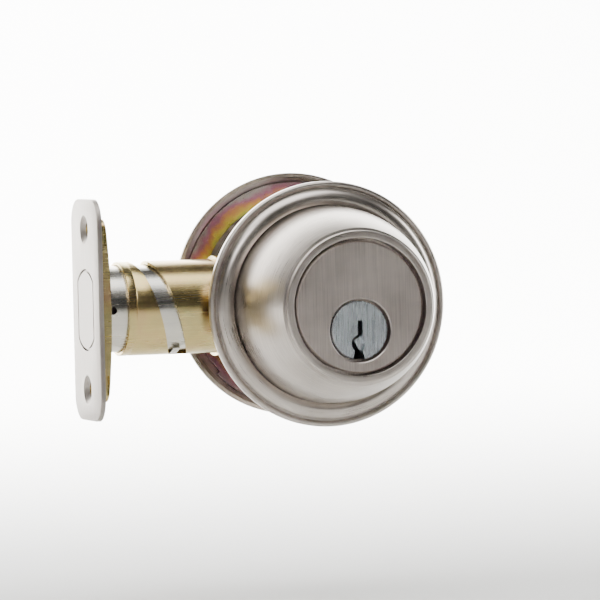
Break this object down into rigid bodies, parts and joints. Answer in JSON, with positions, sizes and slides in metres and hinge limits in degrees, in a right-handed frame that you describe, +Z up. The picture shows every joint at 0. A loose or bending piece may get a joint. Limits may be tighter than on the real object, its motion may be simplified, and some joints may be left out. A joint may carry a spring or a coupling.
{
  "type": "deadbolt door lock",
  "caption": "Single-cylinder deadbolt door lock: keyed cylinder in a domed guard collar outside, thumbturn inside, and an adjustable-backset bolt in a tube between them.",
  "frame": {"origin": "centre of the door's cross bore, midway through the door", "axes": "+Z up, -Y outdoors (key side), +Y indoors (thumbturn side), -X the way the bolt throws"},
  "size_m": [0.0921, 0.0813, 0.0655],
  "materials": {
    "satin_nickel": "satin nickel plate, finely brushed",
    "brushed_nickel_brass": "nickel-plated brass, face brushed upright",
    "plug_nickel": "nickel-plated brass plug, brushed upright",
    "bolt_steel": "satin nickel plate",
    "tube_steel": "bright zinc plate",
    "yellow_zinc": "pale yellow zinc plate",
    "iridescent_zinc": "iridescent yellow chromate over zinc",
    "zinc_steel": "bright zinc plate",
    "hardened_steel": "dark hardened steel",
    "spring_steel": "bright spring steel",
    "pin_brass": "plain brass",
    "nylon": "moulded natural nylon"
  },
  "bodies": {
    "lock_body": {"outside_rose": "satin_nickel", "cylinder_housing": "brushed_nickel_brass", "chamber_cap": "pin_brass", "anti_drill_pins": "hardened_steel", "driver_pins": "spring_steel", "pin_springs": "spring_steel", "outer_sleeve": "yellow_zinc", "case_outer": "yellow_zinc", "case_inner": "yellow_zinc", "case_rivets": "zinc_steel", "detent_spring": "spring_steel", "support_plate": "iridescent_zinc", "through_bolts": "zinc_steel", "inside_rose": "satin_nickel", "rose_screws": "satin_nickel", "turn_bushing": "nylon"},
    "guard": {"guard_collar": "satin_nickel"},
    "plug": {"key_plug": "plug_nickel", "bottom_pins": "pin_brass", "plug_cap": "zinc_steel"},
    "turnpiece": {"tailpiece": "zinc_steel", "crank": "zinc_steel", "crank_pin": "hardened_steel", "thumbturn": "satin_nickel", "turn_spindle": "hardened_steel", "spindle_pin": "spring_steel", "retaining_ring": "hardened_steel", "wave_washer": "spring_steel"},
    "tail": {"bolt_tail": "zinc_steel"},
    "setting_ring": {"slide_ring": "hardened_steel"},
    "front_end": {"front_tube": "tube_steel", "faceplate": "satin_nickel", "backing_plate": "yellow_zinc"},
    "bolt": {"bolt_head": "bolt_steel", "bolt_stem": "zinc_steel"},
    "roller": {"bolt_roller": "hardened_steel"}
  },
  "joints": [
    {"name": "turn", "type": "hinge", "parent": "lock_body", "child": "turnpiece", "pos_m": [0, 0, -0.006], "axis": [0, -1, 0], "range_deg": [0, 90]},
    {"name": "plug_turn", "type": "hinge", "parent": "lock_body", "child": "plug", "pos_m": [0, -0.028, -0.006], "axis": [0, -1, 0], "range_deg": [0, 90]},
    {"name": "tail_slide", "type": "slide", "parent": "lock_body", "child": "tail", "axis": [-1, 0, 0], "range_m": [0, 0.0254]},
    {"name": "backset_slide", "type": "slide", "parent": "lock_body", "child": "setting_ring", "axis": [-1, 0, 0], "range_m": [0, 0.00953]},
    {"name": "backset_twist", "type": "hinge", "parent": "setting_ring", "child": "front_end", "pos_m": [-0.045, 0, 0], "axis": [-1, 0, 0], "range_deg": [0, 180]},
    {"name": "bolt_slide", "type": "slide", "parent": "front_end", "child": "bolt", "axis": [-1, 0, 0], "range_m": [0, 0.0254]},
    {"name": "roller_spin", "type": "hinge", "parent": "bolt", "child": "roller", "pos_m": [-0.045, 0, 0], "axis": [1, 0, 0], "continuous": true},
    {"name": "guard_spin", "type": "hinge", "parent": "lock_body", "child": "guard", "pos_m": [0, -0.03, 0], "axis": [0, -1, 0], "continuous": true}
  ],
  "couplings": [
    {"joint": "plug_turn", "follows": "turn", "ratio": 1},
    {"joint": "tail_slide", "follows": "turn", "m_per_rad": 0.01617},
    {"joint": "bolt_slide", "follows": "turn", "m_per_rad": 0.01617},
    {"joint": "backset_slide", "follows": "backset_twist", "m_per_rad": 0.0030319}
  ]
}
